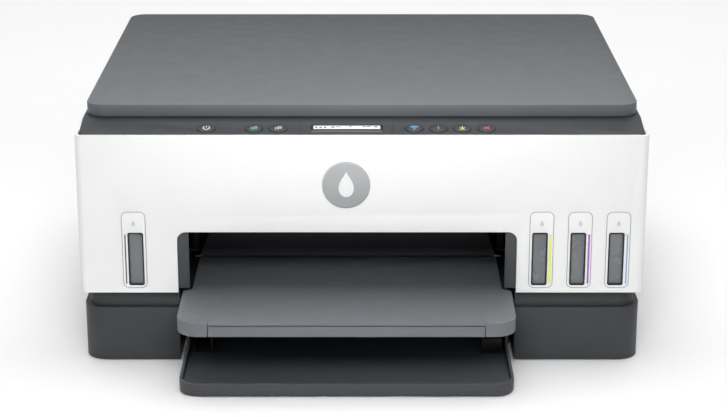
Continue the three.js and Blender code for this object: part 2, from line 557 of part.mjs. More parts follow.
/** A paper width guide: an upright plate on a foot. The right one has a pinch tab at its front. */
function widthGuide(side) {
  const face = BAY_CENTRE + side * PAPER_HALF;
  const out = (near, far) => (side > 0 ? [face + near, face + far] : [face - far, face - near]);
  const z = TRAY_FLOOR + TRAY_SHEET + GAP;
  const plate = profile([[FRONT + 8, z], [FRONT + 104, z], [FRONT + 104, 24], [FRONT + 98, 30],
    [FRONT + 20, 30], [FRONT + 8, 14]], out(0, 2.4));
  const foot = block(out(0, 15), [FRONT + 10, FRONT + 102], [z, z + 1.8]);
  if (side < 0) return joined(plate, foot);
  const tab = block(out(0, 16), [FRONT + 7, FRONT + 11], [z, 13.6]);
  const lip = block(out(0, 16), [FRONT + 7, FRONT + 16], [12, 13.6]);
  return joined(plate, foot, tab, lip);
}
piece("input_tray", inputTray(), charcoal);
piece("width_guide_left", widthGuide(-1), black);
piece("width_guide_right", widthGuide(1), black);

// ---------------------------------------------------------------- output tray and its extender
const OUT_FRONT = FRONT - 71;
const OUT_BACK = FRONT + 79;
const OUT_HALF = 127.2;
const OUT_SPAN_Z = [46, 57];
const SKIN = 3;
const GRIP_HALF = 103.5;
const GRIP_DEPTH = 3.2;
const LIP = 1.1;
const LIP_UNDER = OUT_SPAN_Z[1] - 2.1; // underside of the lip over the extender's bar

function trayOutline(inset) {
  const s = new THREE.Shape();
  const wide = OUT_HALF - inset;
  const neck = OUT_NECK_HALF - inset;
  const front = OUT_FRONT + inset;
  const r = 17 - inset;
  s.moveTo(-wide + r, front);
  s.lineTo(wide - r, front);
  s.absarc(wide - r, front + r, r, -Math.PI / 2, 0, false);
  s.lineTo(wide, FRONT - 1.4);
  s.lineTo(neck, FRONT + 2.6);
  s.lineTo(neck, OUT_BACK - inset);
  s.lineTo(-neck, OUT_BACK - inset);
  s.lineTo(-neck, FRONT + 2.6);
  s.lineTo(-wide, FRONT - 1.4);
  s.lineTo(-wide, front + r);
  s.absarc(-wide + r, front + r, r, Math.PI, Math.PI * 1.5, false);
  return s;
}

function outputTray() {
  const slab = raise(trayOutline(0), OUT_SPAN_Z, 7);
  const hollow = raise(trayOutline(2.5), [OUT_SPAN_Z[0] - 1, OUT_SPAN_Z[1] - SKIN], 5);
  const notch = block([-GRIP_HALF, GRIP_HALF], [OUT_FRONT - 1, OUT_FRONT + GRIP_DEPTH + 0.4], [40, LIP_UNDER]);
  // The top dips to a thin lip over the extender's bar.
  const lipTop = LIP_UNDER + LIP;
  const dip = profile([[OUT_FRONT - 1, lipTop], [OUT_FRONT + 2, lipTop],
    [OUT_FRONT + 8, OUT_SPAN_Z[1]], [OUT_FRONT + 8, OUT_SPAN_Z[1] + 2], [OUT_FRONT - 1, OUT_SPAN_Z[1] + 2]],
  [-GRIP_HALF, GRIP_HALF]);
  const slides = [-1, 1].flatMap((side) => {
    const x = (a, b) => (side > 0 ? [a, b] : [-b, -a]);
    const y = [OUT_FRONT + 14, OUT_BACK - 4];
    return [
      block(x(GRIP_HALF, GRIP_HALF + 2.4), y, [OUT_SPAN_Z[0], OUT_SPAN_Z[1] - 1]),
      block(x(GRIP_HALF - 6, GRIP_HALF + 1), y, [OUT_SPAN_Z[0], OUT_SPAN_Z[0] + 1.6]),
    ];
  });
  return joined(cut(slab, hollow, dip), ...slides).subtract(notch);
}

function outputExtender() {
  const barSpan = [-GRIP_HALF + 0.5, GRIP_HALF - 0.5];
  const grip = block(barSpan, [OUT_FRONT, OUT_FRONT + GRIP_DEPTH], [OUT_SPAN_Z[0], LIP_UNDER - 0.6]);
  const tongue = block([-GRIP_HALF + 1.5, GRIP_HALF - 1.5], [OUT_FRONT + 1, OUT_FRONT + 118],
    [OUT_SPAN_Z[0] + 2, OUT_SPAN_Z[0] + 4.4]);
  return joined(grip, tongue);
}
piece("output_tray", outputTray().translate([BAY_CENTRE, 0, 0]), trayGrey);
piece("output_extender", outputExtender().translate([BAY_CENTRE, 0, 0]), trayGrey);

// ---------------------------------------------------------------- scanner unit
const UNIT_HALF = 215.2;
const UNIT_FRONT = FRONT + 4;
const UNIT_BACK = BACK - 1.5;
const PANEL_FOOT = 181.2; // front edge of the sloping control panel
const PANEL_BACK = FRONT + 33;
const REAR_STEP = [BACK - 17, HOUSING_TOP - 4]; // lowered strip for the lid's hinges
const TUB = { half: 207.5, y: [FRONT + 36, BACK - 27], floor: 152.5 }; // tray that hangs under the bed
const ROOM = { half: 211.5, floor: 160 }; // hollows between the tub and the outer walls
const PLATE_UNDER = HOUSING_TOP - 2.8;
const SCAN_WINDOW = { x: [-158, 142], y: [-66, 153] };
const SLOPE = Math.atan2(HOUSING_TOP - PANEL_FOOT, PANEL_BACK - UNIT_FRONT);
const SLOPE_DEG = THREE.MathUtils.radToDeg(SLOPE);
const BUTTON_RUN = 10.6; // from the panel's front edge up the slope
const BUTTON_R = 6.6;
const BUTTONS = {
  power: -118.8, copy_colour: -82.4, copy_black: -63.9,
  wireless: 40, information: 58.4, resume: 76.7, cancel: 95.3,
};
const DISPLAY = { x: BAY_CENTRE, half: 27.2, depth: 5.7 };

/** Puts a body that was modelled on a level panel, at its own origin, onto the sloping one. */
function onPanel(body, x) {
  return body.rotate([SLOPE_DEG, 0, 0]).translate([
    x, UNIT_FRONT + BUTTON_RUN * Math.cos(SLOPE), PANEL_FOOT + BUTTON_RUN * Math.sin(SLOPE)]);
}

function scannerHousing() {
  const rim = profile([
    [UNIT_FRONT, SCANNER_FLOOR], [UNIT_BACK, SCANNER_FLOOR], [UNIT_BACK, REAR_STEP[1]],
    [REAR_STEP[0], REAR_STEP[1]], [REAR_STEP[0], HOUSING_TOP], [PANEL_BACK, HOUSING_TOP],
    [UNIT_FRONT, PANEL_FOOT]], [-UNIT_HALF, UNIT_HALF]);
  const plan = plinth([-UNIT_HALF, UNIT_HALF], [UNIT_FRONT, UNIT_BACK + 20], [100, 200], 5, 3);
  const tub = block([-TUB.half, TUB.half], TUB.y, [TUB.floor, SCANNER_FLOOR + 1]);
  const cavityY = [TUB.y[0] + WALL, TUB.y[1] - WALL];
  const cavity = block([-TUB.half + WALL, TUB.half - WALL], cavityY, [TUB.floor + WALL, PLATE_UNDER]);
  const drop = 2.6; // skin under the slope
  const boardBack = TUB.y[0] - 2;
  const boardRoom = profile([[UNIT_FRONT + WALL, ROOM.floor], [boardBack, ROOM.floor],
    [boardBack, HOUSING_TOP - drop - 0.3], [UNIT_FRONT + WALL, PANEL_FOOT - drop + 0.5]], [-ROOM.half, ROOM.half]);
  const rearRoom = block([-ROOM.half + 0.5, ROOM.half - 0.5], [BACK - 24, BACK - 4], [ROOM.floor, REAR_STEP[1] - 2.8]);
  const sideRooms = [-1, 1].map((side) => block(
    side < 0 ? [-ROOM.half, -ROOM.half + WALL] : [ROOM.half - WALL, ROOM.half],
    [TUB.y[0], cavityY[1]], [ROOM.floor, PLATE_UNDER]));
  const window = block(SCAN_WINDOW.x, SCAN_WINDOW.y, [PLATE_UNDER - 1, HOUSING_TOP + 1]);
  const holes = Object.values(BUTTONS).map((x) =>
    onPanel(bar("z", BUTTON_R + 0.35, [-6, 6], [0, 0], 20), x));
  const display = onPanel(block([-DISPLAY.half - 0.3, DISPLAY.half + 0.3],
    [-DISPLAY.depth - 0.3, DISPLAY.depth + 0.3], [-6, 6]), DISPLAY.x);
  return cut(joined(rim.intersect(plan), tub), cavity, boardRoom, rearRoom, ...sideRooms, window, display, ...holes);
}

function panelButton() {
  const face = bar("z", BUTTON_R, [-2.2, 0.4], [0, 0], 20);
  const stem = bar("z", 2.5, [-4.4, -1], [0, 0], 8);
  return joined(face, stem);
}

const GLASS_Z = [PLATE_UNDER - GAP - 2.7, PLATE_UNDER - GAP];
const SCAN_RAIL = { y: 44, z: 160, r: 3 };
const SCAN_BAR = [-178, -160]; // parked at the left end of the bed
function scanBar() {
  const lamp = block(SCAN_BAR, [SCAN_WINDOW.y[0] - 6, SCAN_WINDOW.y[1] + 7], [166, GLASS_Z[0] - 0.8]);
  const bearing = block(SCAN_BAR, [SCAN_RAIL.y - 8, SCAN_RAIL.y + 8], [SCAN_RAIL.z - 4.4, SCAN_RAIL.z + 7]);
  const bore = bar("x", SCAN_RAIL.r + 0.35, [SCAN_BAR[0] - 2, SCAN_BAR[1] + 2], [SCAN_RAIL.y, SCAN_RAIL.z]);
  return joined(lamp, bearing).subtract(bore);
}

piece("scanner_housing", scannerHousing(), panelGrey);
piece("scanner_glass", block([SCAN_WINDOW.x[0] - 5, SCAN_WINDOW.x[1] + 5],
  [SCAN_WINDOW.y[0] - 5, SCAN_WINDOW.y[1] + 5], GLASS_Z), glass);
piece("scan_bar", scanBar(), black);
piece("scan_rail", bar("x", SCAN_RAIL.r, [-204.6, 204.6], [SCAN_RAIL.y, SCAN_RAIL.z]), steel);
for (const [name, x] of Object.entries(BUTTONS)) {
  piece(`${name}_button`, onPanel(panelButton(), x), panelGrey);
}
piece("display_window", onPanel(block([-DISPLAY.half, DISPLAY.half],
  [-DISPLAY.depth, DISPLAY.depth], [-2.2, -0.15]), DISPLAY.x), black);

// ---------------------------------------------------------------- lid
const LID_HALF = 213.5;
const LID_Y = [FRONT + 32.5, BACK - 1.5];
const LID_BOTTOM = HOUSING_TOP + 0.5;
const HINGE = { x: 150, y: BACK - 6.5, z: 190.5, pin: 1.5 };
const LUG_X = [10.5, 14.5];
const LUG_HALF = 3.4; // front to back
const EAR = { half: 9.5, r: 3.2 };

function scannerLid() {
  const slab = plinth([-LID_HALF, LID_HALF], LID_Y, [LID_BOTTOM, LID_TOP], 14, 7);
  const under = plinth([-LID_HALF + 2.5, LID_HALF - 2.5], [LID_Y[0] + 2.5, HINGE.y - 7.3],
    [LID_BOTTOM - 1, LID_TOP - 2.8], 11.5, 5);
  let lid = slab.subtract(under);
  for (const x of [-HINGE.x, HINGE.x]) {
    // The pocket stays under the top skin, and leaves the lugs room to swing through it.
    const pocket = block([x - 17, x + 17], [HINGE.y - 4.8, LID_Y[1] + 1], [180, LID_TOP - 1.6]);
    const ear = joined(
      block([x - EAR.half, x + EAR.half], [HINGE.y - 5.8, HINGE.y], [HINGE.z - 2, HINGE.z + EAR.r]),
      bar("x", EAR.r, [x - EAR.half, x + EAR.half], [HINGE.y, HINGE.z], 20));
    lid = lid.subtract(pocket).add(ear).subtract(
      bar("x", HINGE.pin + 0.35, [x - 12, x + 12], [HINGE.y, HINGE.z], 16));
  }
  return lid;
}

/** Two lugs on a plate, with the pin that the lid's ear turns on. */
function lidHinge(x) {
  const plate = block([x - LUG_X[1], x + LUG_X[1]], [HINGE.y - LUG_HALF, HINGE.y + LUG_HALF],
    [REAR_STEP[1] + GAP, REAR_STEP[1] + GAP + 1.6]);
  const lugs = [[x - LUG_X[1], x - LUG_X[0]], [x + LUG_X[0], x + LUG_X[1]]].map((span) => joined(
    block(span, [HINGE.y - LUG_HALF, HINGE.y + LUG_HALF], [REAR_STEP[1] + GAP, HINGE.z]),
    bar("x", LUG_HALF, span, [HINGE.y, HINGE.z], 20)));
  const pin = bar("x", HINGE.pin, [x - 12, x + 12], [HINGE.y, HINGE.z], 12);
  return joined(plate, ...lugs, pin);
}

piece("scanner_lid", scannerLid(), lidGrey);
piece("lid_pad", plinth([SCAN_WINDOW.x[0] - 6, SCAN_WINDOW.x[1] + 6],
  [SCAN_WINDOW.y[0] - 6, SCAN_WINDOW.y[1] + 6], [HOUSING_TOP + 0.3, LID_TOP - 3.1], 4, 3), foam);
piece("lid_hinge_left", lidHinge(-HINGE.x), panelGrey);
piece("lid_hinge_right", lidHinge(HINGE.x), panelGrey);

// Stands the feet on the table.
printer.position.z = -TABLE;
export default printer;
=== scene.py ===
"""Surfaces, small pieces, light and camera for the ink-tank printer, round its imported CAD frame."""
import json
import math

import bpy
from mathutils import Matrix, Vector


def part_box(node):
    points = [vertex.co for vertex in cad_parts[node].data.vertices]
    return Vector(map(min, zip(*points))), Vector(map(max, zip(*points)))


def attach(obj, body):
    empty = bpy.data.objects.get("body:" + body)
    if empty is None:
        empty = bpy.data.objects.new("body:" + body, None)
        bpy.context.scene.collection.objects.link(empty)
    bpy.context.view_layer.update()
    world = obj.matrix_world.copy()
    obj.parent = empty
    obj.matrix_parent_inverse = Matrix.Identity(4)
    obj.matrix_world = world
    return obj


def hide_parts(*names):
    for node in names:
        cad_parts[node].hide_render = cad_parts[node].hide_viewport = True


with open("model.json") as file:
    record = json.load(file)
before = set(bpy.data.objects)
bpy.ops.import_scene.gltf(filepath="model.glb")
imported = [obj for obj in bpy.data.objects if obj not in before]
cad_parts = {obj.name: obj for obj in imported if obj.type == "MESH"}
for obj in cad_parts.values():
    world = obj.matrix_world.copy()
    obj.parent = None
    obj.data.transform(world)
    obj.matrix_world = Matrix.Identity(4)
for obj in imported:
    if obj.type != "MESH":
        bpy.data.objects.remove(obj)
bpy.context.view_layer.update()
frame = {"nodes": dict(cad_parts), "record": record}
nodes = frame["nodes"]

MM = 0.001
INKS = ("black", "yellow", "magenta", "cyan")
KEYS = ("power", "copy_colour", "copy_black", "wireless", "information", "resume", "cancel")


# ------------------------------------------------------------------ materials
def srgb(code):
    """A colour written as six hex digits, in linear light."""
    parts = [int(code[i:i + 2], 16) / 255 for i in (0, 2, 4)]
    return tuple(c / 12.92 if c <= 0.04045 else ((c + 0.055) / 1.055) ** 2.4 for c in parts)


def scaled(colour, factor):
    return tuple(min(1.0, c * factor) for c in colour)


class Graph:
    """The nodes of one material, with its Principled shader."""

    def __init__(self, name):
        self.material = bpy.data.materials.new(name)
        self.material.use_nodes = True
        self.tree = self.material.node_tree
        self.shader = self.tree.nodes["Principled BSDF"]
        self.place = self.add("ShaderNodeTexCoord").outputs["Object"]

    def add(self, kind, **settings):
        node = self.tree.nodes.new(kind)
        for key, value in settings.items():
            setattr(node, key, value)
        return node

    def link(self, source, target):
        self.tree.links.new(source, target)

    def set(self, **values):
        for key, value in values.items():
            self.shader.inputs[key.replace("_", " ")].default_value = value

    def noise(self, scale, detail=2.0, stretch=None):
        node = self.add("ShaderNodeTexNoise")
        node.inputs["Scale"].default_value = scale
        node.inputs["Detail"].default_value = detail
        source = self.place
        if stretch:
            mapping = self.add("ShaderNodeMapping")
            mapping.inputs["Scale"].default_value = stretch
            self.link(source, mapping.inputs["Vector"])
            source = mapping.outputs["Vector"]
        self.link(source, node.inputs["Vector"])
        return node.outputs["Fac"]

    def ramp(self, value, stops):
        """A ramp of (position, colour) stops."""
        node = self.add("ShaderNodeValToRGB")
        elements = node.color_ramp.elements
        while len(elements) < len(stops):
            elements.new(0.5)
        for element, (position, colour) in zip(elements, stops):
            element.position = position
            element.color = (*colour, 1.0)
        self.link(value, node.inputs["Fac"])
        return node.outputs["Color"]

    def spread(self, value, low, high):
        node = self.add("ShaderNodeMapRange")
        node.inputs["From Min"].default_value = 0.3
        node.inputs["From Max"].default_value = 0.7
        node.inputs["To Min"].default_value = low
        node.inputs["To Max"].default_value = high
        self.link(value, node.inputs["Value"])
        return node.outputs["Result"]

    def bump(self, height, strength, distance, under=None):
        node = self.add("ShaderNodeBump")
        node.inputs["Strength"].default_value = strength
        node.inputs["Distance"].default_value = distance
        self.link(height, node.inputs["Height"])
        if under:
            self.link(under, node.inputs["Normal"])
        return node.outputs["Normal"]

    def along(self, axis, start, end):
        """0 at start and 1 at end, along X, Y or Z of the printer; "up" goes by how far a face looks up."""
        parts = self.add("ShaderNodeSeparateXYZ")
        facing = self.place.node.outputs["Normal"]
        self.link(facing if axis == "up" else self.place, parts.inputs[0])
        node = self.add("ShaderNodeMapRange")
        node.inputs["From Min"].default_value = start
        node.inputs["From Max"].default_value = end
        self.link(parts.outputs["Z" if axis == "up" else axis], node.inputs["Value"])
        return node.outputs["Result"]

    def multiply(self, a, b):
        node = self.add("ShaderNodeMix", data_type="RGBA", blend_type="MULTIPLY")
        node.inputs["Factor"].default_value = 1.0
        self.link(a, node.inputs[6])
        self.link(b, node.inputs[7])
        return node.outputs[2]


def moulded(name, code, roughness, grain=0.00003, mottle=0.05, pitch=1500, fade=None, **sockets):
    """Moulded plastic: a fine spark-eroded grain, faint mottling, and painted shade that darkens its concave
    edges a little.
    fade is (axis, start, end, factor at start, factor at end) for a tone that drifts over the part; on the lid,
    the badge, the input tray and the bay liner it is painted light and shade."""
    g = Graph(name)
    colour = srgb(code)
    tone = g.ramp(g.noise(22, 3), [(0.35, scaled(colour, 1 - mottle)), (0.65, scaled(colour, 1 + mottle))])
    # Painted shade: concave edges, where Pointiness is low, come out a little darker.
    edge = g.add("ShaderNodeNewGeometry").outputs["Pointiness"]
    crease_shade = g.ramp(edge, [(0.49, (0.97,) * 3), (0.56, (1.0,) * 3)])
    tone = g.multiply(tone, crease_shade)
    if fade:
        axis, start, end, low, high = fade
        drift = g.ramp(g.along(axis, start, end), [(0.0, (low,) * 3), (1.0, (high,) * 3)])
        tone = g.multiply(tone, drift)
    g.link(tone, g.shader.inputs["Base Color"])
    g.link(g.spread(g.noise(60, 3), roughness - 0.04, roughness + 0.04), g.shader.inputs["Roughness"])
    fine = g.bump(g.noise(pitch, 2), 0.6, grain)
    g.link(fine, g.shader.inputs["Normal"])
    g.set(**sockets)
    return g.material


def brushed(name, code, roughness):
    """Zinc-plated sheet or ground shaft: metal with faint streaks."""
    g = Graph(name)
    colour = srgb(code)
    g.link(g.ramp(g.noise(40, 4), [(0.3, scaled(colour, 0.86)), (0.7, colour)]), g.shader.inputs["Base Color"])
    streaks = g.noise(260, 3, (1.0, 14.0, 14.0))
    g.link(g.spread(streaks, roughness - 0.08, roughness + 0.1), g.shader.inputs["Roughness"])
    g.link(g.bump(streaks, 0.25, 0.00002), g.shader.inputs["Normal"])
    g.set(Metallic=1.0)
    return g.material


def tank_wall():
    """Smoked translucent tank plastic, a little darker towards its foot."""
    g = Graph("tank_plastic")
    colour = srgb("75797d")
    tone = g.ramp(g.noise(30, 2), [(0.35, scaled(colour, 0.95)), (0.65, colour)])
    level = g.ramp(g.along("Z", 0.060, 0.110), [(0.0, (0.84,) * 3), (1.0, (1.0,) * 3)])
    g.link(g.multiply(tone, level), g.shader.inputs["Base Color"])
    g.link(g.spread(g.noise(90, 2), 0.22, 0.3), g.shader.inputs["Roughness"])
    g.link(g.bump(g.noise(400, 2), 0.3, 0.00003), g.shader.inputs["Normal"])
    g.set(Coat_Weight=0.4, Coat_Roughness=0.08)
    return g.material


def rubbery(name, code):
    g = Graph(name)
    colour = srgb(code)
    g.link(g.ramp(g.noise(120, 4), [(0.3, scaled(colour, 0.8)), (0.7, scaled(colour, 1.25))]),
           g.shader.inputs["Base Color"])
    g.link(g.spread(g.noise(200, 3), 0.72, 0.9), g.shader.inputs["Roughness"])
    g.link(g.bump(g.noise(900, 3), 0.7, 0.00006), g.shader.inputs["Normal"])
    return g.material


def clear_glass():
    g = Graph("scanner_glass")
    g.link(g.ramp(g.noise(8, 2), [(0.3, srgb("dfece8")), (0.7, srgb("eef6f4"))]), g.shader.inputs["Base Color"])
    g.link(g.spread(g.noise(14, 3), 0.02, 0.06), g.shader.inputs["Roughness"])
    g.set(IOR=1.52, Alpha=0.35)
    return g.material


def circuit_board():
    """Green solder resist with paler copper runs under it."""
    g = Graph("circuit_board")
    bricks = g.add("ShaderNodeTexBrick")
    bricks.inputs["Scale"].default_value = 90
    bricks.inputs["Mortar Size"].default_value = 0.06
    bricks.inputs["Color1"].default_value = (*srgb("1d5a37"), 1)
    bricks.inputs["Color2"].default_value = (*srgb("174c2e"), 1)
    bricks.inputs["Mortar"].default_value = (*srgb("3f8a58"), 1)
    g.link(g.place, bricks.inputs["Vector"])
    g.link(bricks.outputs["Color"], g.shader.inputs["Base Color"])
    g.link(g.spread(g.noise(150, 2), 0.3, 0.42), g.shader.inputs["Roughness"])
    g.link(g.bump(bricks.outputs["Fac"], 0.4, 0.00005), g.shader.inputs["Normal"])
    return g.material


def printed(name, code, roughness=0.4, glow=0.0):
    """A printed or in-moulded mark, with the faint unevenness of ink."""
    g = Graph(name)
    colour = srgb(code)
    tone = g.ramp(g.noise(500, 2), [(0.3, scaled(colour, 0.93)), (0.7, colour)])
    g.link(tone, g.shader.inputs["Base Color"])
    g.link(g.spread(g.noise(700, 2), roughness - 0.04, roughness + 0.04), g.shader.inputs["Roughness"])
    # glow makes the mark give off light: a lit display, and painted light on the printed key marks.
    if glow:
        g.link(tone, g.shader.inputs["Emission Color"])
        g.set(Emission_Strength=glow)
    return g.material


MATERIALS = {
    "cover_white": moulded("cover_white", "f1f2f1", 0.4, grain=0.00002, mottle=0.008),
    "base_charcoal": moulded("base_charcoal", "35373b", 0.52, grain=0.00005, mottle=0.02),
    "panel_grey": moulded("panel_grey", "33363a", 0.6, grain=0.00005, mottle=0.015),
    "button_grey": moulded("button_grey", "33363a", 0.55, grain=0.00003, mottle=0.015),
    # The lid is painted darker towards its back: a painted reflection gradient.
    "lid_grey": moulded("lid_grey", "65696d", 0.5, grain=0.00005, mottle=0.012,
                        fade=("Y", -0.11, 0.21, 1.0, 0.36)),
    "tray_grey": moulded("tray_grey", "696d71", 0.5, grain=0.00005, mottle=0.015),
    "inner_black": moulded("inner_black", "202226", 0.5, grain=0.00005, mottle=0.02),
    "display_black": moulded("display_black", "303337", 0.2, grain=0.000004, mottle=0.02, Coat_Weight=0.2),
    "tank_plastic": tank_wall(),
    "sheet_steel": brushed("sheet_steel", "b9bbbd", 0.36),
    "rubber": rubbery("rubber", "1d1d1e"),
    "nylon": moulded("nylon", "d8d4c8", 0.45, grain=0.00003),
    "glass": clear_glass(),
    "foam": moulded("foam", "e6e6e1", 0.85, grain=0.00008, mottle=0.015, pitch=900),
    "circuit_board": circuit_board(),
}
# Black for the shadow gap round the ink windows: painted shade.
GAP_SHADE_BLACK = moulded("gap_shade_black", "0f1011", 0.28, grain=0.00001, mottle=0.02)
# Black for dark joints, and for painted shade under the keys and in the screw recesses, door pull and data
# socket.
SEAM_AND_SHADE = moulded("seam_and_shade_black", "121315", 0.6, grain=0.00003)
CHEEK_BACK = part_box("bay_liner")[0].y + 2.2 * MM
# Charcoal on the cheeks of the mouth; behind them the liner is painted near black, as painted shade in the bay.
LINER_PAINTED_SHADE = moulded("bay_liner", "45484b", 0.5, grain=0.00005,
                fade=("Y", CHEEK_BACK, CHEEK_BACK + 0.3 * MM, 1.0, 0.16))
# Its upward faces are painted paler: painted light from above.
INPUT_TRAY_PAINTED_LIGHT = moulded("input_tray", "5f6267", 0.5, grain=0.00005, mottle=0.02, fade=("up", 0.3, 0.9, 0.42, 1.0))


# ------------------------------------------------------------------ shading of the CAD nodes
def smooth_group():
    """Geometry nodes that shade smooth, with edges over 32 degrees kept sharp."""
    group = bpy.data.node_groups.new("smooth_shading", "GeometryNodeTree")
    group.interface.new_socket("Geometry", in_out="INPUT", socket_type="NodeSocketGeometry")
    group.interface.new_socket("Geometry", in_out="OUTPUT", socket_type="NodeSocketGeometry")
    add = group.nodes.new
    start, end = add("NodeGroupInput"), add("NodeGroupOutput")
    angle = add("GeometryNodeInputMeshEdgeAngle")
    soft = add("FunctionNodeCompare")
    soft.operation = "LESS_THAN"
    soft.inputs[1].default_value = math.radians(32)
    faces, edges = add("GeometryNodeSetShadeSmooth"), add("GeometryNodeSetShadeSmooth")
    faces.domain = "FACE"
    edges.domain = "EDGE"
    link = group.links.new
    link(start.outputs[0], faces.inputs[0])
    link(faces.outputs[0], edges.inputs[0])
    link(angle.outputs["Unsigned Angle"], soft.inputs[0])
    link(soft.outputs[0], edges.inputs["Shade Smooth"])
    link(edges.outputs[0], end.inputs[0])
    return group


SMOOTH = smooth_group()


def soften(obj, width, segments=2, cad=True):
    """Rounds the hard edges of a moulded piece by width, and shades it smooth."""
    if cad:
        weld = obj.modifiers.new("weld", "WELD")
        weld.merge_threshold = 0.00001
        flat = obj.modifiers.new("flat", "DECIMATE")
        flat.decimate_type = "DISSOLVE"
        flat.angle_limit = math.radians(1.0)
    bevel = obj.modifiers.new("edges", "BEVEL")
    bevel.width = width
    bevel.segments = segments
    bevel.limit_method = "ANGLE"
    bevel.angle_limit = math.radians(40)
    bevel.use_clamp_overlap = True
    shade = obj.modifiers.new("shade", "NODES")
    shade.node_group = SMOOTH


EDGE = {
    "scanner_lid": 1.0, "front_cover": 0.5, "base_housing": 1.0, "output_tray": 0.9, "input_tray": 0.8,
    "scanner_housing": 0.5, "output_extender": 0.7, "rear_cover": 0.6, "scanner_glass": 0.3,
}
SLOT_OF = {part["node"]: part["material_slot"] for part in frame["record"]["subparts"]}
for name, node in nodes.items():
    node.data.materials.clear()
    node.data.materials.append(MATERIALS[SLOT_OF[name]])
    soften(node, EDGE.get(name, 0.35) * MM)
nodes["bay_liner"].data.materials[0] = LINER_PAINTED_SHADE
nodes["input_tray"].data.materials[0] = INPUT_TRAY_PAINTED_LIGHT


# ------------------------------------------------------------------ outlines and bodies
def rounded(width, height, radius, centre=(0, 0), steps=6):
    """Points round a rectangle with round corners, anticlockwise."""
    points = []
    for quarter, (right, up) in enumerate(((1, 1), (-1, 1), (-1, -1), (1, -1))):
        for k in range(steps + 1):
            turn = math.radians(90 * (quarter + k / steps))
            points.append((
                centre[0] + right * (width / 2 - radius) + radius * math.cos(turn),
                centre[1] + up * (height / 2 - radius) + radius * math.sin(turn)))
    return points


def circle(radius, centre=(0, 0), steps=48):
    turns = [2 * math.pi * k / steps for k in range(steps)]
    return [(centre[0] + radius * math.cos(t), centre[1] + radius * math.sin(t)) for t in turns]


def band(radius, width, start, end, centre=(0, 0), steps=20, taper=False):
    """A stroke of the given width along an arc, from start to end in degrees; taper thins its ends."""
    outer, inner = [], []
    for k in range(steps + 1):
        turn = math.radians(start + (end - start) * k / steps)
        half = width / 2 * (math.sin(math.pi * (k + 0.3) / (steps + 0.6)) if taper else 1)
        for loop, r in ((outer, radius + half), (inner, radius - half)):
            loop.append((centre[0] + r * math.cos(turn), centre[1] + r * math.sin(turn)))
    return outer + inner[::-1]


def drop(width, height, centre=(0, 0), steps=28):
    """An ink drop: a round foot that draws in to a tip at the top."""
    points = []
    for k in range(steps):
        turn = 2 * math.pi * k / steps - math.pi / 2
        lift = (1 + math.sin(turn)) / 2
        points.append((
            centre[0] + width / 2 * math.cos(turn) * (1 - lift ** 2.2),
            centre[1] - height / 2 + height * lift))
    return points


def stroke(a, b, width):
    """A straight bar from a to b."""
    along = (Vector(b) - Vector(a)).normalized()
    side = Vector((-along.y, along.x)) * width / 2
    return [tuple(Vector(p) + s) for p, s in ((a, -side), (b, -side), (b, side), (a, side))]


def prism(outline, low, high):
    """A closed outline of (u, v) points, raised from low to high."""
    n = len(outline)
    verts = [(u, v, w) for w in (low, high) for u, v in outline]
    sides = [(i, (i + 1) % n, n + (i + 1) % n, n + i) for i in range(n)]
    return verts, [tuple(reversed(range(n))), tuple(range(n, 2 * n)), *sides]


def ring(outer, inner, low, high):
    """The wall between two outlines that have equally many points."""
    n = len(outer)
    loops = ((outer, low), (outer, high), (inner, high), (inner, low))
    verts = [(u, v, w) for loop, w in loops for u, v in loop]
    faces = []
    for k in range(4):
        a, b = k * n, (k + 1) % 4 * n
        faces += [(a + i, a + (i + 1) % n, b + (i + 1) % n, b + i) for i in range(n)]
    return verts, faces


def lathe(profile, steps=32, centre=(0, 0)):
    """A closed outline of (radius, height) points, turned about the w axis."""
    n = len(profile)
    verts, faces = [], []
    for k in range(steps):
        turn = 2 * math.pi * k / steps
        verts += [(centre[0] + r * math.cos(turn), centre[1] + r * math.sin(turn), h) for r, h in profile]
        nxt = (k + 1) % steps
        faces += [(k * n + i, nxt * n + i, nxt * n + (i + 1) % n, k * n + (i + 1) % n) for i in range(n)]
    return verts, faces


def axes(origin, u, v, w):
    """The matrix that puts (u, v, w) coordinates, in millimetres, into the printer's frame."""
    basis = Matrix((u, v, w)).transposed().to_4x4()
    return Matrix.Translation(origin) @ basis @ Matrix.Scale(MM, 4)


X, Y, Z = Vector((1, 0, 0)), Vector((0, 1, 0)), Vector((0, 0, 1))


def on_front(x, y, z):
    """Seen from the front: u to the right, v up, w towards the viewer."""
    return axes(Vector((x, y, z)), X, Z, -Y)


def on_back(x, y, z):
    return axes(Vector((x, y, z)), -X, Z, Y)


def on_top(x, y, z):
    return axes(Vector((x, y, z)), X, Y, Z)


def make(name, parts, place, material, body, edge=0.0, segments=2):
    """One piece from bodies given as (verts, faces), placed by a matrix, riding on a CAD body."""
    verts, faces = [], []
    for part_verts, part_faces in parts:
        start = len(verts)
        verts += part_verts
        faces += [tuple(start + i for i in face) for face in part_faces]
    mesh = bpy.data.meshes.new(name)
    mesh.from_pydata([place @ Vector(v) for v in verts], [], faces)
    mesh.update()
    mesh.materials.append(material)
    piece = bpy.data.objects.new(name, mesh)
    bpy.context.scene.collection.objects.link(piece)
    if edge:
        soften(piece, edge * MM, segments, cad=False)
    else:
        piece.modifiers.new("shade", "NODES").node_group = SMOOTH
    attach(piece, body)
    return piece


def middle(node):
    low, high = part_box(node)
    return (low + high) / 2


# ------------------------------------------------------------------ ink windows
COVER_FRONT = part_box("front_cover")[0].y
COVER_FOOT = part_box("front_cover")[0].z
WINDOW = (12.2, 43.0)  # opening in the cover
WINDOW_Z = COVER_FOOT + 27.5 * MM
SHADE_RING_WIDTH = 1.05
LETTER_Z = COVER_FOOT + 56.6 * MM
OUTLINE = (18.8, 62.2, 4.6)  # width, height and corner radius of the line round each window
OUTLINE_Z = COVER_FOOT + 34.8 * MM
